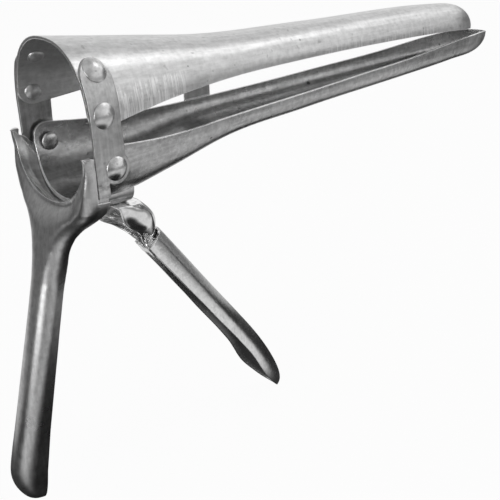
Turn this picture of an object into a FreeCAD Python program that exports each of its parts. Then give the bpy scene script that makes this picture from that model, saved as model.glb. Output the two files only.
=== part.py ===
import FreeCAD, Part
import math
import os
from FreeCAD import Vector

# Bivalve speculum in pressed stainless sheet.
# Millimetres. +X runs along the blades to their tips, +Z is up, -Y is the near side.
# The origin is the middle of the mouth, where both blades end at the user's side.

os.makedirs("parts", exist_ok=True)

# Sheet thicknesses
valve_sheet = 1.5
yoke_sheet = 1.6
strap_sheet = 1.5
lever_sheet = 1.5

# Upper valve: stations along X, each with half width, crown height and edge height
upper_stations = [
    (0.0, 35.0, 41.9, 0.7),
    (27.0, 31.4, 38.1, 3.6),
    (54.0, 28.0, 34.5, 6.3),
    (108.0, 22.8, 27.9, 8.3),
    (180.0, 19.7, 24.8, 7.3),
    (288.0, 15.9, 21.2, 2.9),
    (342.0, 13.2, 16.8, -1.2),
    (362.0, 11.6, 14.6, -3.8),
]
upper_rear_x = 0.0
upper_nose_start = 329.0
upper_nose_length = 35.3
upper_mouth_power = 2.4
upper_tip_power = 2.1

# Lower valve: the same stations, with the keel below and the edge above
lower_stations = [
    (0.0, 32.8, -42.5, -6.9),
    (27.0, 30.5, -43.3, -10.7),
    (54.0, 27.8, -38.4, -13.3),
    (81.0, 25.0, -32.2, -13.8),
    (108.0, 22.8, -27.8, -13.7),
    (180.0, 19.7, -25.9, -12.8),
    (288.0, 15.9, -24.5, -10.0),
    (342.0, 13.4, -23.5, -7.2),
    (365.0, 12.2, -23.0, -7.0),
    (386.0, 11.0, -23.0, -9.3),
]
lower_rear_x = 4.0
lower_start_x = -3.0
lower_nose_start = 354.0
lower_nose_length = 32.0
# Side view of the lower valve's rear edge, from the side walls down to the keel
lower_rear_edge = [(4.0, 5.0), (4.0, -12.0), (3.3, -27.0), (1.8, -35.0), (0.5, -40.0), (-1.0, -43.5)]
# Squareness of the lower valve's section: round at the mouth, flat-bottomed further on
lower_powers = [(0.0, 2.3), (27.0, 2.5), (54.0, 2.7), (81.0, 3.0), (108.0, 3.2), (386.0, 3.2)]

# Rounded rear corners of both valves
mouth_corner = 8.0

# Hinge: the axis runs along Y through both arms
pivot_x = 11.9
pivot_z = -19.0
pivot_shank = 3.0
pivot_play = 0.05

# Fixed rivets through strap and upper valve: x, z of each pair
strap_rivets = {"upper": (9.4, 28.0), "middle": (8.1, 8.0)}
rivet_shank = 2.5
rivet_head = 6.4
rivet_dome = 2.4
rivet_rim = 0.7
rivet_sink = 0.4
rivet_bed = 0.05
rivet_tail = 4.6
rivet_tail_dome = 1.2

# Hinge rivet
hinge_head = 6.2
hinge_dome = 2.6
hinge_rim = 0.9
hinge_tail = 5.0
hinge_tail_dome = 1.2
hinge_tail_gap = 0.25
spacer_radius = 5.6
spacer_play = 0.6

# Straps: plates that carry the upper valve on the yoke's arms
strap_rear_x = 0.0
strap_front_x = 18.0
strap_top_z = 33.5
strap_tail_front_x = 7.0
strap_tail_z = -32.3
strap_lobe = 8.2

# Yoke: a channel handle whose fork cups the rear end of the lower valve
fork_gap = 0.6
fork_rear_x = -9.5
# Behind the lower valve the opening's bottom rises and rounds off
fork_flat_x = -3.0
fork_ridge_rise = 3.6
fork_ridge_power = 2.1
fork_top_z = -10.3
# Half width of the yoke's outer shell at each height
yoke_widths = [
    (-215.0, 10.4),
    (-195.0, 10.5),
    (-150.0, 10.2),
    (-100.0, 10.0),
    (-82.0, 10.6),
    (-72.0, 12.3),
    (-64.0, 14.8),
    (-59.0, 17.2),
    (-54.0, 21.0),
    (-50.0, 25.0),
    (-46.0, 30.0),
    (-40.0, 35.2),
    (-30.0, 37.3),
    (-5.0, 37.5),
]
stem_lean = 0.278
stem_rear_x = -17.6
stem_rear_z = -69.5
yoke_corner = 6.0
yoke_power = 2.5
yoke_reach = 60.0
stem_end_z = -213.6
stem_nose = 24.5
stem_nose_power = 3.4
stem_toe = 14.5
stem_toe_power = 2.0
# The stem's sections lie level above the first height and square to the stem below the second
stem_tilt_z = (-150.0, -200.0)
# Front edge of the yoke's outer shell, seen from the side
yoke_front_edge = [
    (-2.6, 0.0),
    (-2.6, -33.8),
    (6.0, -34.6),
    (4.2, -41.0),
    (0.0, -46.0),
    (-4.6, -50.2),
    (-7.4, -56.5),
    (-9.4, -65.0),
    (-10.6, -77.0),
    (-20.4, -121.3),
    (-32.1, -168.9),
    (-37.6, -194.5),
    (-42.6, -228.0),
]

# Flat of each arm under its strap, seen from the side
arm_outline = [(-5.0, -13.0), (-2.0, -14.3), (1.0, -16.2), (4.0, -18.9), (6.0, -22.5), (6.0, -34.6),
               (4.8, -38.0), (-5.0, -38.0)]

# Squeeze lever: a deep gutter, convex to the front
lever_top = (58.6, -76.2)
lever_tip = (158.0, -225.0)
# Along the lever: distance, spine and edge above the line from top to tip, half width
lever_shape = [
    (0.0, -0.3, -14.6, 7.6),
    (25.0, 0.7, -13.8, 8.1),
    (50.0, 1.4, -12.9, 8.9),
    (82.0, 2.6, -12.1, 10.3),
    (104.0, 3.5, -11.2, 11.1),
    (124.0, 3.9, -11.0, 11.9),
    (141.0, 3.3, -12.6, 12.8),
    (150.0, 2.5, -13.3, 13.0),
    (158.0, 1.5, -13.0, 12.4),
    (166.0, 0.2, -12.2, 10.8),
    (173.0, -1.4, -11.4, 8.4),
    (178.5, -3.4, -10.4, 5.6),
    (182.5, -6.9, -9.4, 2.4),
]
lever_stations = [0.0, 18.0, 36.0, 54.0, 72.0, 90.0, 106.0, 120.0, 131.0, 141.0, 150.5, 158.5, 165.5,
                  171.5, 176.0, 179.3, 181.5, 182.5]
lever_power = 2.2
# The hollow is drawn back toward the tip by this power of the distance, and starts before the top
lever_tip_ease = 6
lever_overrun = 1.0

# Saddle bracket between the lower valve and the lever: edge point, spine point, half width,
# and how much further the far wall's edge reaches
bracket_sections = [
    ((24.0, -50.5), (45.0, -54.5), 12.0, 0.0),
    ((28.0, -57.0), (50.8, -60.5), 12.0, 3.0),
    ((32.0, -65.5), (55.0, -69.8), 10.8, 6.0),
    ((39.2, -71.5), (53.8, -77.0), 8.4, 8.5),
    ((44.0, -78.0), (51.5, -82.5), 5.0, 5.0),
    ((46.5, -83.0), (50.5, -86.5), 3.2, 1.5),
    ((49.5, -86.5), (53.0, -89.0), 2.8, 0.0),
]
bracket_power = 2.6
far_least = 0.05
# Thickness of the bracket's closed top
bracket_cap = 3.0

# Braze round the neck: how far down the lever it runs, and its lowest and highest level below the spine
braze_run = 8.5
braze_low = 15.0
braze_high = 7.0
braze_bed = 0.05

# Pad between the keel of the lower valve and the bracket
pad_front_x = 38.0
pad_rear_x = 20.0
pad_half_width = 10.0
pad_bottom_z = -51.0

section_points = 11

# A cut that leaves more than this share of the form took nothing away; slack for the second try
hollow_limit = 0.6
hollow_slack = 0.01

# Guide tab: a plate against the outside of the lower valve's far wall
tab_x = (102.0, 120.5)
tab_sheet = 1.2
tab_low_z = -20.0
tab_top_z = 7.4
tab_bed = 0.02


def slopes(xs, ys):
    """Slopes of a curve through the points that never overshoots them."""
    steps = [(ys[i + 1] - ys[i]) / (xs[i + 1] - xs[i]) for i in range(len(xs) - 1)]
    result = [steps[0]]
    for left, right in zip(steps, steps[1:]):
        result.append(0.0 if left * right <= 0 else 2 * left * right / (left + right))
    result.append(steps[-1])
    return result


def smooth(points):
    """Function of a smooth curve through (x, y) points, straight beyond both ends."""
    points = sorted(points)
    xs = [p[0] for p in points]
    ys = [p[1] for p in points]
    ms = slopes(xs, ys)

    def value(x):
        if x <= xs[0]:
            return ys[0] + ms[0] * (x - xs[0])
        if x >= xs[-1]:
            return ys[-1] + ms[-1] * (x - xs[-1])
        i = max(k for k in range(len(xs) - 1) if xs[k] <= x)
        span = xs[i + 1] - xs[i]
        t = (x - xs[i]) / span
        a = ys[i] * (1 + 2 * t) * (1 - t) ** 2 + ys[i + 1] * t * t * (3 - 2 * t)
        b = ms[i] * span * t * (1 - t) ** 2 - ms[i + 1] * span * t * t * (1 - t)
        return a + b

    return value


upper_width = smooth([(s[0], s[1]) for s in upper_stations])
upper_crown = smooth([(s[0], s[2]) for s in upper_stations])
upper_edge = smooth([(s[0], s[3]) for s in upper_stations])
lower_width = smooth([(s[0], s[1]) for s in lower_stations])
lower_keel = smooth([(s[0], s[2]) for s in lower_stations])
lower_edge = smooth([(s[0], s[3]) for s in lower_stations])
lower_power = smooth(lower_powers)
yoke_width = smooth(yoke_widths)
lever_spine = smooth([(s[0], s[1]) for s in lever_shape])
lever_edge = smooth([(s[0], s[2]) for s in lever_shape])
lever_half = smooth([(s[0], s[3]) for s in lever_shape])


def upper_power(x):
    blend = min(max(x / lower_nose_start, 0.0), 1.0)
    return upper_mouth_power + (upper_tip_power - upper_mouth_power) * blend


def arch_points(half_width, height, power):
    """Superellipse arch from (+half_width, 0) over (0, height) to (-half_width, 0)."""
    points = []
    for i in range(section_points):
        angle = math.pi * i / (section_points - 1)
        c = math.cos(angle)
        s = math.sin(angle)
        across = math.copysign(abs(c) ** (2 / power), c) * half_width
        points.append((across, abs(s) ** (2 / power) * height))
    points[-1] = (-half_width, 0.0)
    return points


def arch_wire(points, legs):
    """Closed wire of a smooth arch and the straight lines through the leg points."""
    curve = Part.BSplineCurve()
    curve.interpolate(points)
    corners = [points[-1]] + legs + [points[0]]
    lines = [Part.makeLine(a, b) for a, b in zip(corners, corners[1:])]
    return Part.Wire([curve.toShape()] + lines)


def cross_wire(x, half_width, base_z, far_z, power, leg_drop):
    """Arch across the object at X = x, with straight legs beyond its base."""
    points = [Vector(x, y, base_z + h) for y, h in arch_points(half_width, far_z - base_z, power)]
    legs = []
    if leg_drop:
        away = base_z - math.copysign(leg_drop, far_z - base_z)
        legs = [Vector(x, -half_width, away), Vector(x, half_width, away)]
    return arch_wire(points, legs)


def nose_factor(x, start, length):
    """Share of the full section left at x inside a rounded nose."""
    if x <= start:
        return 1.0
    return math.sqrt(max(1 - ((x - start) / length) ** 2, 0.0))


def valve_solid(form, start, length, offset, rear, leg):
    """Solid of a valve's outer or inner form, closed by a rounded nose."""
    width, far, edge, power = form
    shares = (0.0, 0.3, 0.55, 0.75, 0.88, 0.96, 0.992)
    xs = [rear, 13.0, 27.0, 54.0, 81.0, 108.0, 144.0, 180.0, 234.0, 288.0, 320.0]
    xs = [x for x in xs if x < start - 5.0]
    xs += [start + s * (length - offset) for s in shares]
    wires = []
    for x in xs:
        k = nose_factor(x, start, length - offset)
        half = (width(x) - offset) * k
        full = far(x) - edge(x)
        height = full - math.copysign(offset, full)
        wires.append(cross_wire(x, half, edge(x), edge(x) + height * k, power(x), leg))
    return Part.makeLoft(wires, True, False)


def rear_corner_cutter(rear, edge, direction):
    """What is cut from a valve's side walls to round their rear corners."""
    edge_z = edge(rear + mouth_corner)
    z = edge_z + direction * mouth_corner
    span = mouth_corner + 6
    low = z if direction < 0 else z - span
    block = Part.makeBox(mouth_corner + 4, 100, span, Vector(rear - 4, -50, low))
    centre = Vector(rear + mouth_corner, -50, z)
    disc = Part.makeCylinder(mouth_corner, 100, centre, Vector(0, 1, 0))
    return block.cut(disc)


def hollowed(outer, inner):
    """Outer form less the inner one, cut again with some slack if the first cut takes nothing."""
    shell = outer.cut(inner)
    if shell.Volume > hollow_limit * outer.Volume:
        shell = outer.cut([inner], hollow_slack)
    return shell


def rod(radius, start, direction, length):
    return Part.makeCylinder(radius, length, start, direction)


def dome(radius, height, base, direction):
    """Spherical cap standing on a flat base."""
    ball = (radius * radius + height * height) / (2 * height)
    centre = base - direction * (ball - height)
    sphere = Part.makeSphere(ball, centre)
    keep = Part.makeCylinder(radius + 1, height + 1, base, direction)
    return sphere.common(keep)


upper_form = (upper_width, upper_crown, upper_edge, upper_power)
lower_form = (lower_width, lower_keel, lower_edge, lower_power)
upper_outer = valve_solid(upper_form, upper_nose_start, upper_nose_length, 0.0, upper_rear_x, 0.0)
upper_inner = valve_solid(upper_form, upper_nose_start, upper_nose_length, valve_sheet,
                          upper_rear_x - 2.0, 6.0)
lower_outer = valve_solid(lower_form, lower_nose_start, lower_nose_length, 0.0, lower_start_x, 0.0)
lower_inner = valve_solid(lower_form, lower_nose_start, lower_nose_length, valve_sheet,
                          lower_start_x - 2.0, 6.0)


def wall_point(x, z):
    """Point on the near outer face of the upper valve at (x, z), and its outward normal."""
    power = upper_power(x)
    width = upper_width(x)
    height = upper_crown(x) - upper_edge(x)
    rise = (z - upper_edge(x)) / height
    y = width * (1 - rise ** power) ** (1 / power)
    across = (y / width) ** (power - 1) / width
    up = rise ** (power - 1) / height
    slope = (upper_width(x + 1) - upper_width(x - 1)) / 2
    normal = Vector(-slope * across, -across, up)
    normal.normalize()
    return Vector(x, -y, z), normal


def lower_inner_half(x, z):
    """Half width of the lower valve's inner face at (x, z)."""
    power = lower_power(x)
    rise = (z - lower_edge(x)) / (lower_keel(x) - lower_edge(x) + valve_sheet)
    return (lower_width(x) - valve_sheet) * (1 - max(rise, 0.0) ** power) ** (1 / power)


def fork_wire(x, offset, top):
    """Section of the yoke's cradle round the lower valve, carried past both ends."""
    half = lower_width(x) + offset
    base = lower_edge(0)
    behind = min(max((fork_flat_x - x) / (fork_flat_x - fork_rear_x), 0.0), 1.0)
    low = lower_keel(0) - offset + fork_ridge_rise * behind
    power = lower_power(0) + (fork_ridge_power - lower_power(0)) * behind
    points = [Vector(x, y, base + h) for y, h in arch_points(half, low - base, power)]
    legs = [Vector(x, -half, top), Vector(x, half, top)]
    return arch_wire(points, legs)


def fork_solid(offset, rear, front, top):
    xs = [rear] + [x for x in (fork_rear_x - 6, fork_rear_x, fork_flat_x, 6.0) if x > rear] + [front]
    return Part.makeLoft([fork_wire(x, offset, top) for x in xs], True, True)


def strap_wire(x, offset):
    """Section of the strap's face: over the upper valve, then down outside the fork."""
    half = upper_width(x) + offset
    edge = upper_edge(x)
    points = [Vector(x, y, edge + h)
              for y, h in arch_points(half, upper_crown(x) + offset - edge, upper_power(x))]
    foot = lower_width(x) + fork_gap + yoke_sheet + offset
    bend_z = fork_top_z + 2
    low = strap_tail_z - 10
    legs = [Vector(x, -foot, bend_z), Vector(x, -foot, low), Vector(x, foot, low), Vector(x, foot, bend_z)]
    return arch_wire(points, legs)


def strap_solid(offset):
    xs = (strap_rear_x - 4, 13.0, strap_front_x + 8)
    return Part.makeLoft([strap_wire(x, offset) for x in xs], True, False)


def side_prism(points, depth=60.0):
    """Closed outline in X and Z, extruded through the whole width."""
    corners = [Vector(x, -depth, z) for x, z in points]
    face = Part.Face(Part.makePolygon(corners + [corners[0]]))
    return face.extrude(Vector(0, 2 * depth, 0))


def strap_outline():
    """Side view of a strap: round top, straight band, round lobe at the pivot, narrow tail."""
    half = (strap_front_x - strap_rear_x) / 2
    mid = (strap_front_x + strap_rear_x) / 2 - 0.8
    band_top = strap_top_z - half
    band = Part.makeBox(strap_front_x - strap_rear_x, 120, band_top - pivot_z,
                        Vector(strap_rear_x, -60, pivot_z))
    top = rod(half, Vector(mid + 0.8, -60, band_top), Vector(0, 1, 0), 120)
    lobe = rod(strap_lobe, Vector(pivot_x, -60, pivot_z), Vector(0, 1, 0), 120)
    tail = Part.makeBox(strap_tail_front_x - strap_rear_x, 120, pivot_z - strap_tail_z,
                        Vector(strap_rear_x, -60, strap_tail_z))
    return band.fuse([top, lobe, tail]).removeSplitter()


def stem_rear(z):
    return min(fork_rear_x, stem_rear_x + stem_lean * (z - stem_rear_z))


def yoke_wire(z, offset, k, toe):
    """Section of the yoke's shell: rounded rear, open straight sides to the front."""
    half = (yoke_width(z) - offset) * k
    rear = stem_rear(z) + offset + stem_toe * (1 - toe)
    upper_z, lower_z = stem_tilt_z
    tilt = stem_lean * min(max((upper_z - z) / (upper_z - lower_z), 0.0), 1.0)
    points = []
    for y, h in arch_points(half, yoke_corner, yoke_power):
        ahead = yoke_corner - h
        points.append(Vector(rear + ahead, y, z - tilt * ahead))
    front_z = z - tilt * yoke_reach
    legs = [Vector(rear + yoke_reach, -half, front_z), Vector(rear + yoke_reach, half, front_z)]
    return arch_wire(points, legs)


def yoke_solid(offset, top):
    start = stem_end_z + stem_nose
    length = stem_nose - offset
    zs = [start - s * length for s in (0.985, 0.9, 0.75, 0.5, 0.25)]
    zs += [start, -170.0, -145.0, -115.0, -95.0, -82.0, -74.0, -67.0, -61.0, -56.0, -52.0]
    zs += [-48.0, -44.0, -39.0, -33.0, -25.0, -15.0, top]
    wires = []
    for z in zs:
        share = max((start - z) / length, 0.0)
        k = (1 - share ** stem_nose_power) ** (1 / stem_nose_power)
        toe = (1 - share ** stem_toe_power) ** (1 / stem_toe_power)
        wires.append(yoke_wire(z, offset, k, toe))
    return Part.makeLoft(wires, True, False)


def build_yoke():
    shell = yoke_solid(0.0, fork_top_z).cut(yoke_solid(yoke_sheet, fork_top_z + 5))
    keep = side_prism(yoke_front_edge + [(-120.0, -228.0), (-120.0, 0.0)])
    shell = shell.common(keep)
    opening = fork_solid(fork_gap, -40.0, 60.0, 20.0)
    shell = shell.cut(opening)
    cradle = fork_solid(fork_gap + yoke_sheet, -8.0, 30.0, 10.0).cut(opening)
    outline = side_prism([
        (fork_rear_x + 2.6, fork_top_z),
        (-5.0, fork_top_z - 2.5),
        (-1.0, -18.5),
        (6.6, -27.0),
        (6.0, -34.6),
        (4.2, -41.0),
        (0.0, -46.0),
        (-4.6, -50.2),
        (fork_rear_x + 2.6, -50.2),
    ])
    cradle = cradle.common(outline)
    arm_out = lower_width(0) + fork_gap + yoke_sheet
    arms = side_prism(arm_outline, arm_out).cut(side_prism(arm_outline, arm_out - yoke_sheet))
    return shell.fuse([cradle, arms])


def mirrored(shape):
    """The same piece on the far side."""
    return shape.mirror(Vector(0, 0, 0), Vector(0, 1, 0))


yoke = build_yoke()
upper_shell = hollowed(upper_outer, upper_inner)
upper_shell = upper_shell.cut(rear_corner_cutter(upper_rear_x, upper_edge, 1))
lower_shell = hollowed(lower_outer, lower_inner)
lower_shell = lower_shell.cut(side_prism(lower_rear_edge + [(-20.0, -50.0), (-20.0, 5.0)]))
lower_shell = lower_shell.cut(rear_corner_cutter(lower_rear_x, lower_edge, -1))

# Both straps, before their holes
near_half = Part.makeBox(600, 100, 600, Vector(-150, -100, -300))
strap_pair = strap_solid(strap_sheet).cut(strap_solid(0.0)).common(strap_outline())
strap_pair = strap_pair.cut(upper_outer).cut(yoke)
strap_blank = strap_pair.common(near_half)

parts = {}

# Fixed rivets through strap and upper valve: domed head outside, set tail inside
shanks = []
for place, (x, z) in strap_rivets.items():
    point, normal = wall_point(x, z)
    inner = point - normal * (valve_sheet + rivet_bed)
    outer = point + normal * (strap_sheet - rivet_sink)
    shank = rod(rivet_shank, inner, normal, valve_sheet + strap_sheet + rivet_bed)
    head = rod(rivet_head, outer, normal, rivet_rim)
    head = head.fuse(dome(rivet_head, rivet_dome, outer + normal * rivet_rim, normal))
    tail = dome(rivet_tail, rivet_tail_dome, inner, normal * -1)
    head = head.cut(strap_blank)
    tail = tail.cut(upper_shell)
    parts["rivet_" + place + "_near"] = shank.fuse([head, tail]).removeSplitter()
    shanks.append(shank)

# Hinge rivet, with a spacer between the lower valve and the strap
hinge_centre = Vector(pivot_x, 0, pivot_z)
outward = Vector(0, -1, 0)
wall_out = lower_width(pivot_x)
strap_out = wall_out + fork_gap + yoke_sheet + strap_sheet
turns = [math.radians(a) for a in range(0, 360, 15)]
wall_in = min(lower_inner_half(pivot_x + hinge_tail * math.cos(a), pivot_z + hinge_tail * math.sin(a))
              for a in turns)
tail_base = wall_in - hinge_tail_gap
pivot_hole = rod(pivot_shank, Vector(pivot_x, -60, pivot_z), Vector(0, 1, 0), 120)
pivot_bore = rod(pivot_shank + pivot_play, Vector(pivot_x, -60, pivot_z), Vector(0, 1, 0), 120)
shank = rod(pivot_shank, hinge_centre + outward * tail_base, outward, strap_out - tail_base)
base = hinge_centre + outward * (strap_out - rivet_sink)
head = rod(hinge_head, base, outward, hinge_rim)
head = head.fuse(dome(hinge_head, hinge_dome, base + outward * hinge_rim, outward))
head = head.cut(strap_blank)
tail = dome(hinge_tail, hinge_tail_dome, hinge_centre + outward * tail_base, outward * -1)
parts["hinge_rivet_near"] = shank.fuse([head, tail]).removeSplitter()
spacer_base = wall_out + spacer_play
spacer = rod(spacer_radius, hinge_centre + outward * spacer_base, outward, strap_out - spacer_base)
spacer = spacer.cut([pivot_hole, strap_blank])
parts["hinge_spacer_near"] = min(spacer.Solids, key=lambda s: abs(s.CenterOfMass.y))
for name in list(parts):
    parts[name.replace("_near", "_far")] = mirrored(parts[name])

far_shanks = [mirrored(shank) for shank in shanks]
parts["strap_near"] = strap_blank.cut(shanks + [pivot_hole])
parts["strap_far"] = strap_pair.cut(near_half).cut(far_shanks + [pivot_hole])
upper_valve = upper_shell.cut(shanks + far_shanks)
lower_valve = lower_shell.cut(pivot_bore)
yoke = yoke.cut(pivot_hole)


def along(point, direction, distance):
    return (point[0] + direction[0] * distance, point[1] + direction[1] * distance)


def gutter_wire(edge, spine, half, offset, opened, far_reach=0.0):
    """Section of a gutter between its edge point and its spine point, both (x, z)."""
    dx = spine[0] - edge[0]
    dz = spine[1] - edge[1]
    depth = math.hypot(dx, dz)
    unit = (dx / depth, dz / depth)
    width = max(half - offset, half * 0.35)
    deep = depth - offset
    points = []
    for y, h in arch_points(width, deep, gutter_power):
        x, z = along(edge, unit, h)
        points.append(Vector(x, y, z))
    legs = []
    if opened:
        x, z = along(edge, unit, -opened)
        legs.append(Vector(x, -width, z))
    if opened or far_reach:
        x, z = along(edge, unit, -opened - far_reach)
        legs.append(Vector(x, width, z))
    return arch_wire(points, legs)


gutter_power = lever_power
run_x = lever_tip[0] - lever_top[0]
run_z = lever_tip[1] - lever_top[1]
run = math.hypot(run_x, run_z)
lever_u = (run_x / run, run_z / run)
lever_n = (-lever_u[1], lever_u[0])


def lever_solid(offset, opened):
    wires = []
    last = lever_stations[-1]
    for s in lever_stations:
        place = s - offset * (s / last) ** lever_tip_ease
        if offset and s == 0.0:
            place = -lever_overrun
        middle = along(lever_top, lever_u, place)
        spine = along(middle, lever_n, lever_spine(s))
        edge = along(middle, lever_n, lever_edge(s))
        wires.append(gutter_wire(edge, spine, lever_half(s), offset, opened))
    return Part.makeLoft(wires, True, False)


lever = hollowed(lever_solid(0.0, 0.0), lever_solid(lever_sheet, 6.0))
parts["squeeze_lever"] = lever

gutter_power = bracket_power


def bracket_solid(offset, opened):
    sections = list(bracket_sections)
    if offset:
        top, below = sections[0], sections[1]
        share = bracket_cap / math.dist(top[0], below[0])
        edge = along(top[0], (below[0][0] - top[0][0], below[0][1] - top[0][1]), share)
        spine = along(top[1], (below[1][0] - top[1][0], below[1][1] - top[1][1]), share)
        sections[0] = (edge, spine, top[2], top[3])
    least = 0.0 if offset else far_least
    wires = [gutter_wire(e, s, h, offset, opened, max(r, least)) for e, s, h, r in sections]
    return Part.makeLoft(wires, True, False)


bracket = bracket_solid(0.0, 0.0).cut(bracket_solid(lever_sheet, 6.0))
bracket = bracket.cut(lever)

# Pad: a half-round block brazed under the keel
pad_shape = rod(pad_half_width, Vector(pad_rear_x, 0, lower_keel(30) - 0.0), Vector(1, 0, 0),
                pad_front_x - pad_rear_x)
pad_shape = pad_shape.common(Part.makeBox(60, 40, 30, Vector(10, -20, pad_bottom_z - 4)))
pad_shape = pad_shape.cut(lower_outer)
pad = sorted(pad_shape.Solids, key=lambda s: s.Volume)[-1]
bracket = bracket.cut(pad)
bracket = sorted(bracket.Solids, key=lambda s: s.Volume)[-1]
parts["saddle_bracket"] = bracket

# Braze that fills the top of the gutter round the bracket's neck
braze_outline = [along(along(lever_top, lever_u, s), lever_n, n)
                 for s, n in ((0.5, -braze_low), (braze_run, -braze_low),
                              (braze_run, -braze_high), (0.5, -braze_high))]
braze = side_prism(braze_outline).common(lever_solid(lever_sheet + braze_bed, 6.0)).cut(bracket)
braze = braze.cut(lever)
parts["neck_braze"] = sorted(braze.Solids, key=lambda s: s.Volume)[-1]
parts["saddle_pad"] = pad

# Guide tab, following the far wall of the lower valve
tab_rise = tab_top_z - lower_edge(tab_x[1])
tab_skin = valve_solid(lower_form, lower_nose_start, lower_nose_length, -tab_bed - tab_sheet,
                       lower_start_x, tab_rise)
tab_hollow = valve_solid(lower_form, lower_nose_start, lower_nose_length, -tab_bed,
                         lower_start_x, tab_rise + 2.0)
tab_box = Part.makeBox(tab_x[1] - tab_x[0], 40, tab_top_z - tab_low_z, Vector(tab_x[0], 0, tab_low_z))
tab = tab_box.common(tab_skin).cut(tab_hollow)
parts["guide_tab"] = sorted(tab.Solids, key=lambda s: s.Volume)[-1]
parts["upper_valve"] = upper_valve
parts["lower_valve"] = lower_valve
parts["yoke_handle"] = yoke

for name, shape in parts.items():
    box = shape.BoundBox
    print(name, len(shape.Solids), shape.isValid(), round(shape.Volume),
          [round(v, 1) for v in (box.XMin, box.XMax, box.YMin, box.YMax, box.ZMin, box.ZMax)])
    shape.exportStep("parts/" + name + ".step")
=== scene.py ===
import math

import bmesh
import bpy
from mathutils import Euler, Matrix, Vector, noise


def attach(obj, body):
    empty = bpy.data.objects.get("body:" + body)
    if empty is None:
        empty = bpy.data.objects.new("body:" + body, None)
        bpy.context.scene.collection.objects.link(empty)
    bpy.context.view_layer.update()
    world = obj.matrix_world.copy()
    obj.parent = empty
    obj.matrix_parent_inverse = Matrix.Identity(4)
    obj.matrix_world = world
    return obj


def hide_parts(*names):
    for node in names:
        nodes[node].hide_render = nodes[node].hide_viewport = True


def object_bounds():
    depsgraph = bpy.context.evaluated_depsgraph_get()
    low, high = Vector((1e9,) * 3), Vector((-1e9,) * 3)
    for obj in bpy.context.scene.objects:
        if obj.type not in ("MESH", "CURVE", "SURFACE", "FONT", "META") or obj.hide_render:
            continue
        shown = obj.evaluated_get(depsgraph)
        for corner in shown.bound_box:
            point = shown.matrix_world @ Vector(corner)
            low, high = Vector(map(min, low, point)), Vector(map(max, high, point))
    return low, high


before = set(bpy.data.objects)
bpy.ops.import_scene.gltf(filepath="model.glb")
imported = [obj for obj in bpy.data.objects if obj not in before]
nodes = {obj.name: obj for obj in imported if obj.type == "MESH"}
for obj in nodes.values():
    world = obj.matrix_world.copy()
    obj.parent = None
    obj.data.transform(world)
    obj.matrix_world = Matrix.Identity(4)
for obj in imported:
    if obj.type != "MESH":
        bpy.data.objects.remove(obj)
cad_low, cad_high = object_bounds()


def new_material(name):
    material = bpy.data.materials.new(name)
    material.use_nodes = True
    material.node_tree.nodes.clear()
    return material


class Graph:
    """Short calls for building a node tree. A value is a number or a socket."""

    def __init__(self, tree):
        self.tree = tree

    def node(self, kind, **settings):
        made = self.tree.nodes.new(kind)
        for key, value in settings.items():
            setattr(made, key, value)
        return made

    def link(self, source, target):
        self.tree.links.new(source, target)

    def put(self, target, value):
        """Links a socket, or sets a plain value."""
        if isinstance(value, bpy.types.NodeSocket):
            self.link(value, target)
        else:
            target.default_value = value

    def math(self, operation, *values):
        made = self.node("ShaderNodeMath", operation=operation)
        for socket, value in zip(made.inputs, values):
            self.put(socket, value)
        return made.outputs[0]

    def plus(self, a, b):
        return self.math("ADD", a, b)

    def minus(self, a, b):
        return self.math("SUBTRACT", a, b)

    def times(self, a, b):
        return self.math("MULTIPLY", a, b)

    def larger(self, a, b):
        return self.math("MAXIMUM", a, b)

    def above(self, a, b):
        """1 where a is greater than b, 0 elsewhere."""
        return self.math("GREATER_THAN", a, b)

    def below(self, a, b):
        """1 where a is less than b, 0 elsewhere."""
        return self.math("LESS_THAN", a, b)

    def mapped(self, value, low, high, to_low=0.0, to_high=1.0, kind="SMOOTHSTEP"):
        made = self.node("ShaderNodeMapRange", interpolation_type=kind)
        self.put(made.inputs["Value"], value)
        made.inputs["From Min"].default_value = low
        made.inputs["From Max"].default_value = high
        made.inputs["To Min"].default_value = to_low
        made.inputs["To Max"].default_value = to_high
        return made.outputs["Result"]

    def band(self, value, low, high, soft):
        """1 between low and high, fading out over soft on both sides of each."""
        rise = self.mapped(value, low - soft, low + soft)
        fall = self.mapped(value, high - soft, high + soft, 1.0, 0.0)
        return self.times(rise, fall)

    def mix(self, factor, a, b):
        made = self.node("ShaderNodeMix", data_type="FLOAT")
        self.put(made.inputs["Factor"], factor)
        self.put(made.inputs["A"], a)
        self.put(made.inputs["B"], b)
        return made.outputs["Result"]

    def noise(self, vector, scale, detail, roughness):
        made = self.node("ShaderNodeTexNoise")
        self.link(vector, made.inputs["Vector"])
        made.inputs["Scale"].default_value = scale
        made.inputs["Detail"].default_value = detail
        made.inputs["Roughness"].default_value = roughness
        return made.outputs["Fac"]

    def stretched(self, vector, scale):
        made = self.node("ShaderNodeMapping")
        self.link(vector, made.inputs["Vector"])
        made.inputs["Scale"].default_value = scale
        return made.outputs["Vector"]

    def coordinates(self, kind):
        return self.node("ShaderNodeTexCoord").outputs[kind]

    def geometry(self, kind):
        return self.node("ShaderNodeNewGeometry").outputs[kind]

    def axes(self, vector):
        """The X, Y and Z of a vector, by name."""
        made = self.node("ShaderNodeSeparateXYZ")
        self.link(vector, made.inputs["Vector"])
        return made.outputs

    def length(self, vector):
        made = self.node("ShaderNodeVectorMath", operation="LENGTH")
        self.link(vector, made.inputs[0])
        return made.outputs["Value"]

    def grey(self, value):
        made = self.node("ShaderNodeCombineColor")
        for channel in ("Red", "Green", "Blue"):
            self.put(made.inputs[channel], value)
        return made.outputs["Color"]

    def ray_kinds(self):
        """1 for a ray that shows the scene to the camera, and 1 for a reflected ray."""
        path = self.node("ShaderNodeLightPath").outputs
        return self.larger(path["Is Camera Ray"], path["Is Transmission Ray"]), path["Is Glossy Ray"]


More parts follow.
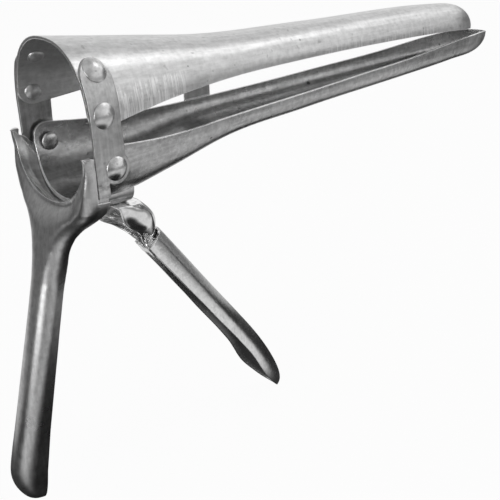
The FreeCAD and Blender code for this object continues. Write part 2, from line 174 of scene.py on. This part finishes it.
# Noise textures: scale per metre, detail and roughness
cloud_noise = (28.0, 4.0, 0.55)
speck_noise = (300.0, 3.0, 0.55)
streak_noise = (950.0, 2.0, 0.8)
patch_noise = (110.0, 2.0, 0.55)
scar_noise = (330.0, 4.0, 0.7)
mottle_noise = (260.0, 3.0, 0.7)
pit_noise = (230.0, 1.0, 0.55)
grain_detail = 3.0
grain_roughness = 0.65

# Where a noise value starts and ends to count
noise_span = (0.3, 0.7)
streak_span = (0.51, 0.57)
patch_span = (0.34, 0.52)
scar_span = (0.40, 0.60)
mottle_span = (0.46, 0.62)
pit_span = (0.70, 0.78)

# Tone of the fine grain and dust, and of a stain, whose core is a share of its radius
fine_tone = 0.08
stain_tone = 0.35
stain_core = 0.4

# Heights, as shares of the bump's distance
bump_distance = 0.0002
grain_height = 0.5
scar_height = 2.0
mottle_height = 0.8
pit_depth = 3.0

# Stretch of the crosswise streaks and of the weld's scars, and how softly their patches end, in metres
streak_stretch = (1.0, 0.03, 0.03)
streak_soft_x = 0.006
streak_soft_z = 0.003
scar_stretch = (0.6, 1.0, 1.4)
scar_soft = 0.002

# Rounded edges of the sheet, lightened by a painted highlight. The span is of the cosine between the
# rounded normal and the face's own
edge_radius = 0.0007
edge_samples = 6
edge_highlight_gain = 0.40
edge_span = (0.97, 0.80)

# Bare cut edges of the valves, polished and with a painted highlight: the long edges face up, the mouth's
# face back
rim_highlight_gain = 0.35
rim_roughness = 0.22
rim_facing = 0.85
rim_low_z = -0.016
rim_high_z = 0.012
rim_back_x = 0.020


class Metal:
    """A steel surface in the making: its tone, roughness and height, which each mark adds to."""

    def __init__(self, graph, tone, tone_spread, rough, rough_spread):
        self.graph = graph
        self.position = graph.coordinates("Object")
        self.axes = graph.axes(self.position)
        self.outward = graph.axes(graph.geometry("True Normal"))
        self.outside = graph.above(graph.times(self.outward["Y"], self.axes["Y"]), 0.0)
        self.speck = graph.noise(self.position, *speck_noise)
        cloud = graph.noise(self.position, *cloud_noise)
        around_zero = graph.math("MULTIPLY_ADD", cloud, 2.0, -1.0)
        self.tone = graph.plus(graph.times(around_zero, tone_spread), tone)
        self.roughness = graph.mapped(cloud, *noise_span, rough - rough_spread, rough + rough_spread,
                                      "LINEAR")
        self.height = 0.0

    def mark(self, mask, tone, height):
        """Adds a tone and a height where the mask is 1."""
        self.tone = self.graph.plus(self.tone, self.graph.times(mask, tone))
        self.height = self.graph.plus(self.height, self.graph.times(mask, height))

    def add_grain(self, stretch, scale):
        graph = self.graph
        lines = graph.noise(graph.stretched(self.position, stretch), scale, grain_detail, grain_roughness)
        for source in (lines, self.speck):
            fine = graph.mapped(source, *noise_span, -fine_tone, fine_tone, "LINEAR")
            self.tone = graph.plus(self.tone, fine)
        self.height = graph.times(lines, grain_height)

    def add_streaks(self, x_low, x_high, z_low, z_high, amount):
        """Crosswise scratches in a patch of the outer face, on both sides of the object."""
        graph = self.graph
        across = graph.noise(graph.stretched(self.position, streak_stretch), *streak_noise)
        patch = graph.mapped(graph.noise(self.position, *patch_noise), *patch_span)
        mask = graph.times(graph.band(self.axes["X"], x_low, x_high, streak_soft_x),
                           graph.band(self.axes["Z"], z_low, z_high, streak_soft_z))
        mask = graph.times(mask, graph.times(self.outside, patch))
        self.mark(graph.times(graph.mapped(across, *streak_span), mask), amount, 1.0)

    def add_scar(self, z_low, z_high, amount):
        """Rough, light and dark marks of a weld."""
        graph = self.graph
        rough_patch = graph.noise(graph.stretched(self.position, scar_stretch), *scar_noise)
        mask = graph.band(self.axes["Z"], z_low, z_high, scar_soft)
        self.mark(graph.times(graph.mapped(rough_patch, *scar_span, -1.0, 1.0), mask), amount, scar_height)

    def add_stain(self, x, y, z, radius):
        """A dark spot with a ragged edge."""
        graph = self.graph
        apart = graph.node("ShaderNodeVectorMath", operation="DISTANCE")
        graph.link(self.position, apart.inputs[0])
        apart.inputs[1].default_value = (x, y, z)
        ragged = graph.plus(apart.outputs["Value"], graph.times(graph.minus(self.speck, 0.5), radius))
        self.mark(graph.mapped(ragged, radius * stain_core, radius, 1.0, 0.0), -stain_tone, -1.0)

    def add_mottle(self, amount):
        blotch = self.graph.mapped(self.graph.noise(self.position, *mottle_noise), *mottle_span)
        self.mark(blotch, amount, mottle_height)

    def add_pits(self, amount):
        hole = self.graph.mapped(self.graph.noise(self.position, *pit_noise), *pit_span)
        self.mark(hole, -amount, -pit_depth)

    def add_painted_edge_highlights(self, rounded):
        """Painted highlight: lighter where the rounded normal leaves the face's own."""
        graph = self.graph
        facing = graph.node("ShaderNodeVectorMath", operation="DOT_PRODUCT")
        graph.link(rounded, facing.inputs[0])
        graph.link(graph.geometry("Normal"), facing.inputs[1])
        edge_highlight_mask = graph.mapped(facing.outputs["Value"], *edge_span)
        self.tone = graph.plus(self.tone, graph.times(edge_highlight_mask, edge_highlight_gain))

    def add_cut_edges(self):
        """Polish and a painted highlight on the sheet's cut edges, and none on its faces."""
        graph = self.graph
        upward = graph.times(graph.above(self.outward["Z"], rim_facing),
                             graph.above(self.axes["Z"], rim_low_z))
        upward = graph.times(upward, graph.below(self.axes["Z"], rim_high_z))
        backward = graph.times(graph.below(self.outward["X"], -rim_facing),
                               graph.below(self.axes["X"], rim_back_x))
        polish_and_highlight = graph.larger(upward, backward)
        self.tone = graph.plus(self.tone, graph.times(polish_and_highlight, rim_highlight_gain))
        self.roughness = graph.mix(polish_and_highlight, self.roughness, rim_roughness)

    def leaning(self, form, normal):
        """The normal, leant by a form's height in metres, turned over on the inner faces."""
        graph = self.graph
        made = graph.node("ShaderNodeBump")
        made.inputs["Distance"].default_value = 1.0
        height = graph.times(form(graph, self.axes), graph.mix(self.outside, -1.0, 1.0))
        graph.link(height, made.inputs["Height"])
        graph.link(normal, made.inputs["Normal"])
        return made.outputs["Normal"]

    def finish(self, normal, strength):
        """The shader and the material's output."""
        graph = self.graph
        bump = graph.node("ShaderNodeBump")
        bump.inputs["Strength"].default_value = strength
        bump.inputs["Distance"].default_value = bump_distance
        graph.link(normal, bump.inputs["Normal"])
        graph.link(self.height, bump.inputs["Height"])
        shader = graph.node("ShaderNodeBsdfPrincipled")
        shader.inputs["Metallic"].default_value = 1.0
        graph.link(graph.grey(self.tone), shader.inputs["Base Color"])
        graph.link(self.roughness, shader.inputs["Roughness"])
        graph.link(bump.outputs["Normal"], shader.inputs["Normal"])
        graph.link(shader.outputs["BSDF"], graph.node("ShaderNodeOutputMaterial").inputs["Surface"])


def steel(name, tone, tone_spread, rough, rough_spread, grain, grain_scale, grain_bump, pits,
          mottle=0.0, cut_edges=False, streaks=(), scars=(), stains=(), form=None):
    """Stainless steel: cloudy tone, grain along one axis, the marks of making and use, and painted
    highlights on its edges.
    """
    material = new_material(name)
    graph = Graph(material.node_tree)
    metal = Metal(graph, tone, tone_spread, rough, rough_spread)
    metal.add_grain(grain, grain_scale)
    for streak in streaks:
        metal.add_streaks(*streak)
    for scar in scars:
        metal.add_scar(*scar)
    for stain in stains:
        metal.add_stain(*stain)
    if mottle:
        metal.add_mottle(mottle)
    metal.add_pits(pits)
    bevel = graph.node("ShaderNodeBevel", samples=edge_samples)
    bevel.inputs["Radius"].default_value = edge_radius
    normal = bevel.outputs["Normal"]
    # Painted highlight along the rounded edges
    metal.add_painted_edge_highlights(normal)
    # Polish and a painted highlight on the cut edges that face up or back
    if cut_edges:
        metal.add_cut_edges()
    if form:
        normal = metal.leaning(form, normal)
    metal.finish(normal, grain_bump)
    return material


# The lever's gutter is fuller than its section: its walls lean toward the spine. The top is where its line
# begins, in X and Z, and across is the direction from its edge toward its spine
lever_top = (0.0586, -0.0762)
lever_across = (0.8315, 0.5555)
lever_edge = 0.0145
lever_depth = 0.0150
lever_lean = 0.7


def lever_form(graph, axes):
    """Height of the lean, which grows with the square of the way across."""
    by_x = graph.times(graph.minus(axes["X"], lever_top[0]), lever_across[0])
    by_z = graph.times(graph.minus(axes["Z"], lever_top[1]), lever_across[1])
    deep = graph.larger(graph.plus(graph.plus(by_x, by_z), lever_edge), 0.0)
    return graph.times(graph.times(deep, deep), -lever_lean / (2 * lever_depth))


# Grain is drawn out along one axis, or lies evenly
along_x = (0.05, 1.0, 1.0)
along_z = (1.0, 1.0, 0.05)
evenly = (1.0, 1.0, 1.0)

# Streaks: X from and to, Z from and to, tone
upper_streaks = (
    (0.018, 0.062, -0.003, 0.018, 0.50),
    (0.180, 0.220, 0.002, 0.010, 0.22),
    (0.235, 0.300, -0.001, 0.007, 0.25),
)
lower_streaks = (
    (0.245, 0.272, -0.018, -0.010, 0.20),
    (0.340, 0.354, -0.016, -0.009, 0.20),
)
# Scars of the weld on a strap's tail: Z from and to, tone
strap_scars = ((-0.0340, -0.0245, 0.14),)
# Stains: place and radius
upper_stains = (
    (0.0688, -0.0240, 0.0197, 0.0007),
    (0.1597, -0.0171, 0.0187, 0.0008),
    (0.1200, -0.0200, 0.0170, 0.0007),
)
lower_stains = (
    (0.2015, 0.0154, -0.0205, 0.0018),
    (0.0821, -0.0239, -0.0225, 0.0012),
    (0.3445, 0.0109, -0.0159, 0.0014),
    (0.0690, -0.0270, -0.0290, 0.0010),
)

upper_steel = steel(
    "upper_steel", tone=0.70, tone_spread=0.08, rough=0.34, rough_spread=0.05,
    grain=along_x, grain_scale=500.0, grain_bump=0.14, pits=0.16, mottle=0.03,
    cut_edges=True, streaks=upper_streaks, stains=upper_stains)
lower_steel = steel(
    "lower_steel", tone=0.50, tone_spread=0.10, rough=0.28, rough_spread=0.06,
    grain=along_x, grain_scale=500.0, grain_bump=0.18, pits=0.15, mottle=0.07,
    cut_edges=True, streaks=lower_streaks, stains=lower_stains)
strap_steel = steel(
    "strap_steel", tone=0.52, tone_spread=0.10, rough=0.32, rough_spread=0.06,
    grain=along_z, grain_scale=500.0, grain_bump=0.20, pits=0.15, mottle=0.05,
    scars=strap_scars)
rivet_steel = steel(
    "rivet_steel", tone=0.74, tone_spread=0.08, rough=0.28, rough_spread=0.06,
    grain=evenly, grain_scale=300.0, grain_bump=0.15, pits=0.35)
handle_steel = steel(
    "handle_steel", tone=0.62, tone_spread=0.04, rough=0.30, rough_spread=0.05,
    grain=along_z, grain_scale=500.0, grain_bump=0.08, pits=0.12)
lever_steel = steel(
    "lever_steel", tone=0.90, tone_spread=0.05, rough=0.22, rough_spread=0.05,
    grain=along_z, grain_scale=500.0, grain_bump=0.12, pits=0.10, mottle=0.16,
    form=lever_form)
bracket_steel = steel(
    "bracket_steel", tone=0.93, tone_spread=0.06, rough=0.14, rough_spread=0.04,
    grain=evenly, grain_scale=160.0, grain_bump=0.25, pits=0.10)

finishes = {
    "upper_valve": upper_steel,
    "lower_valve": lower_steel,
    "guide_tab": lower_steel,
    "yoke_handle": handle_steel,
    "squeeze_lever": lever_steel,
    "saddle_bracket": bracket_steel,
    "neck_braze": bracket_steel,
    "saddle_pad": handle_steel,
    "strap_near": strap_steel,
    "strap_far": strap_steel,
}


def finish_of(node):
    """The node's steel. Those with no entry are rivets and their spacers."""
    return finishes.get(node, rivet_steel)


for name, thing in nodes.items():
    thing.data.materials.clear()
    thing.data.materials.append(finish_of(name))


# Worked copies: how close points are merged, how often the mesh is divided, and what angle stays sharp
merge_distance = 0.000001
subdivide_rounds = 8
smooth_angle = 38


def shaped(node, body, longest, near, move):
    """Stands a worked copy of a node in its place: fine mesh where near() says so, then moved by move()."""
    mesh = nodes[node].data.copy()
    work = bmesh.new()
    work.from_mesh(mesh)
    bmesh.ops.remove_doubles(work, verts=work.verts, dist=merge_distance)
    for _ in range(subdivide_rounds):
        coarse = [edge for edge in work.edges
                  if edge.calc_length() > longest and any(near(vert.co) for vert in edge.verts)]
        if not coarse:
            break
        bmesh.ops.subdivide_edges(work, edges=coarse, cuts=1)
        bmesh.ops.triangulate(work, faces=[face for face in work.faces if len(face.verts) > 3])
    work.normal_update()
    steps = [(vert, move(vert.co, vert.normal)) for vert in work.verts if near(vert.co)]
    for vert, step in steps:
        vert.co += step
    work.to_mesh(mesh)
    work.free()
    if "custom_normal" in mesh.attributes:
        mesh.attributes.remove(mesh.attributes["custom_normal"])
    for face in mesh.polygons:
        face.use_smooth = True
    mesh.set_sharp_from_angle(angle=math.radians(smooth_angle))
    mesh.update()
    piece = bpy.data.objects.new(node + "_worked", mesh)
    bpy.context.scene.collection.objects.link(piece)
    mesh.materials.clear()
    mesh.materials.append(finish_of(node))
    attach(piece, body)
    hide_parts(node)


def between(value, table):
    """Straight line between the rows of a table of (place, value)."""
    for (a, first), (b, second) in zip(table, table[1:]):
        if value <= b:
            return first + (second - first) * max(value - a, 0.0) / (b - a)
    return table[-1][1]


def ease(value, low, high):
    share = min(max((value - low) / (high - low), 0.0), 1.0)
    return share * share * (3 - 2 * share)


# The yoke's rear face: upright above, leaning back along a line below
rear_face_x = -0.0095
rear_line_x = -0.0176
rear_line_z = -0.0695
rear_line_slope = 0.278
yoke_top_z = -0.0105

# The yoke's opening, and its outline as half widths by Z
opening_half = 0.0338
opening_middle_z = -0.0069
opening_depth = 0.0350
opening_power = 2.3
yoke_halves = [
    (-0.215, 0.0104), (-0.150, 0.0102), (-0.100, 0.0100), (-0.082, 0.0106), (-0.072, 0.0123),
    (-0.064, 0.0148), (-0.059, 0.0172), (-0.054, 0.0210), (-0.050, 0.0250), (-0.046, 0.0300),
    (-0.040, 0.0352), (-0.030, 0.0373), (-0.005, 0.0375),
]
slope_step = 0.002

# Its rear wall is crowned like a half round bar between the opening and the outline. The shift sets the
# wall's borders in, and the crown ends at the stem's foot and toward the front
crown_height = 0.0038
crown_width = 0.0104
crown_shift = 0.0015
crown_end_z = (-0.2136, -0.190)
wall_depth = (0.008, 0.012)
blend_power = 3
least_distance = 0.00001


def yoke_rear(z):
    return min(rear_face_x, rear_line_x + rear_line_slope * (z - rear_line_z))


def yoke_near(place):
    return place.x < yoke_rear(place.z) + wall_depth[1] and place.z < yoke_top_z


def from_opening(y, z):
    """Distance outward from the opening's rounded border."""
    down = max(opening_middle_z - z, 0.0)
    sides = (y / opening_half) ** opening_power + (down / opening_depth) ** opening_power
    return max((sides ** (1 / opening_power) - 1) * opening_half, 0.0)


def from_outline(y, z):
    """Distance inward from the yoke's outline."""
    rise = between(z + slope_step, yoke_halves) - between(z - slope_step, yoke_halves)
    return max(between(z, yoke_halves) - y, 0.0) / math.hypot(1, rise / (2 * slope_step))


def yoke_crown(place, normal):
    y, z = abs(place.y), place.z
    distances = (from_opening(y, z), from_outline(y, z))
    deep = sum((d + least_distance) ** -blend_power for d in distances) ** (-1 / blend_power)
    rise = crown_height * (1 - (1 - min(deep / crown_width, 1.0)) ** 2) - crown_shift
    rise *= ease(z, *crown_end_z)
    rise *= 1 - ease(place.x - yoke_rear(z), *wall_depth)
    return Vector((-rise, 0, 0))


# The bracket is hammered sheet, and the braze is a run of weld
dent_size = 0.009
dent_depth = 0.0007
bead_size = 0.0035
bead_depth = 0.0005


def everywhere(place):
    return True


def rippled(size, depth):
    """A move along the normal, by smooth waves of this size."""
    def move(place, normal):
        return normal * noise.noise(place / size) * depth
    return move


# Longest edge of each worked mesh
yoke_edge = 0.0018
bracket_edge = 0.0015
braze_edge = 0.0010
shaped("yoke_handle", "frame", yoke_edge, yoke_near, yoke_crown)
shaped("saddle_bracket", "lower", bracket_edge, everywhere, rippled(dent_size, dent_depth))
shaped("neck_braze", "lower", braze_edge, everywhere, rippled(bead_size, bead_depth))

# Floor: its size, its middle and how far below the part it lies
floor_size = 12.0
floor_middle = (0.03, -0.15)
floor_drop = 0.0005
floor_tone = 0.80
floor_camera_share = 0.95
# In reflections it is dark close to its middle and paler further out
floor_near_level = 0.015
floor_far_level = 0.64
floor_near_span = (0.12, 0.20)
# It is dimmer behind the handle (by X), toward the horizon (by distance) and in one band (by Y)
floor_behind_span = (-0.45, -0.20)
floor_behind_share = 0.40
floor_horizon_span = (0.55, 0.95)
floor_horizon_share = 0.40
floor_band = (0.11, 0.28)
floor_band_soft = 0.03
floor_band_share = 0.05


def reflected_floor(graph):
    """Brightness of the floor in reflections."""
    place = graph.coordinates("Object")
    axes = graph.axes(place)
    distance = graph.length(place)
    level = graph.mapped(distance, *floor_near_span, floor_near_level, floor_far_level)
    behind = graph.mapped(axes["X"], *floor_behind_span, floor_behind_share, 1.0)
    horizon = graph.mapped(distance, *floor_horizon_span, 1.0, floor_horizon_share)
    band = graph.mix(graph.band(axes["Y"], *floor_band, floor_band_soft), 1.0, floor_band_share)
    return graph.times(level, graph.times(behind, graph.times(horizon, band)))


def build_floor():
    """White to the camera, with a faint shadow, and grey in reflections."""
    bpy.ops.mesh.primitive_plane_add(size=floor_size, location=(*floor_middle, cad_low[2] - floor_drop))
    floor = bpy.context.object
    floor.name = "floor"
    material = new_material("floor")
    graph = Graph(material.node_tree)
    seen, glossy = graph.ray_kinds()
    diffuse = graph.node("ShaderNodeBsdfDiffuse")
    diffuse.inputs["Color"].default_value = (floor_tone, floor_tone, floor_tone, 1)
    glow = graph.node("ShaderNodeEmission")
    graph.link(graph.mix(glossy, 1.0, reflected_floor(graph)), glow.inputs["Strength"])
    blend = graph.node("ShaderNodeMixShader")
    graph.link(graph.larger(graph.times(seen, floor_camera_share), glossy), blend.inputs[0])
    graph.link(diffuse.outputs[0], blend.inputs[1])
    graph.link(glow.outputs[0], blend.inputs[2])
    graph.link(blend.outputs[0], graph.node("ShaderNodeOutputMaterial").inputs["Surface"])
    floor.data.materials.append(material)


# World: even light, and in reflections a studio that is paler in front than behind, with a dark zone
# straight ahead and low down, and a ceiling of its own level
ambient_level = 0.55
behind_level = 0.22
front_level = 0.86
front_span = (-0.7, 0.6)
ahead_level = 0.10
ahead_span = (0.86, 0.96)
ahead_rise_span = (0.10, 0.35)
overhead_level = 0.50
overhead_span = (0.3, 0.9)


def build_world():
    """White to the camera, and the studio to everything else."""
    world = bpy.data.worlds.new("studio")
    bpy.context.scene.world = world
    world.use_nodes = True
    world.node_tree.nodes.clear()
    graph = Graph(world.node_tree)
    seen, glossy = graph.ray_kinds()
    toward = graph.axes(graph.coordinates("Generated"))
    around = graph.mapped(toward["X"], *front_span, behind_level, front_level)
    ahead = graph.times(graph.mapped(toward["X"], *ahead_span),
                        graph.mapped(toward["Z"], *ahead_rise_span, 1.0, 0.0))
    around = graph.mix(ahead, around, ahead_level)
    studio = graph.mix(graph.mapped(toward["Z"], *overhead_span), around, overhead_level)
    background = graph.node("ShaderNodeBackground")
    background.inputs["Color"].default_value = (1, 1, 1, 1)
    level = graph.mix(seen, graph.mix(glossy, ambient_level, studio), 1.0)
    graph.link(level, background.inputs["Strength"])
    graph.link(background.outputs[0], graph.node("ShaderNodeOutputWorld").inputs["Surface"])


# Softboxes face a point between the blades: direction from it, distance, width, height and power
lamp_target = Vector((0.12, 0, 0))
softboxes = {
    "key": ((0.60, -0.23, 0.76), 1.3, 0.55, 0.50, 1.1),
    "ahead": ((0.84, -0.13, 0.52), 1.3, 0.55, 0.55, 0.30),
    "left": ((-0.93, -0.34, 0.06), 1.2, 0.46, 1.0, 4.6),
}


def softbox(name, toward, distance, width, height, power):
    """Area lamp that faces the target."""
    data = bpy.data.lights.new(name, "AREA")
    data.shape = "RECTANGLE"
    data.size = width
    data.size_y = height
    data.energy = power
    lamp = bpy.data.objects.new(name, data)
    bpy.context.scene.collection.objects.link(lamp)
    lamp.location = lamp_target + Vector(toward).normalized() * distance
    lamp.rotation_euler = (lamp_target - lamp.location).to_track_quat("-Z", "Y").to_euler()


# Camera, from the fit of the object's outlines in the 500 x 500 image
image_size = 500
focal_pixels = 800
sensor_width = 36.0
nearest_seen = 0.01
camera_place = (-0.1889, -0.3544, 0.1140)
camera_tilt = 64.23
camera_roll = 1.29
camera_turn = -42.67


def build_camera():
    data = bpy.data.cameras.new("camera")
    data.sensor_width = sensor_width
    data.lens = sensor_width * focal_pixels / image_size
    data.clip_start = nearest_seen
    camera = bpy.data.objects.new("camera", data)
    bpy.context.scene.collection.objects.link(camera)
    camera.location = camera_place
    angles = (camera_tilt, camera_roll, camera_turn)
    camera.rotation_euler = Euler([math.radians(angle) for angle in angles], "XYZ")
    bpy.context.scene.camera = camera


build_floor()
build_world()
for name, settings in softboxes.items():
    softbox(name, *settings)
build_camera()
bpy.context.scene.view_settings.view_transform = "Standard"
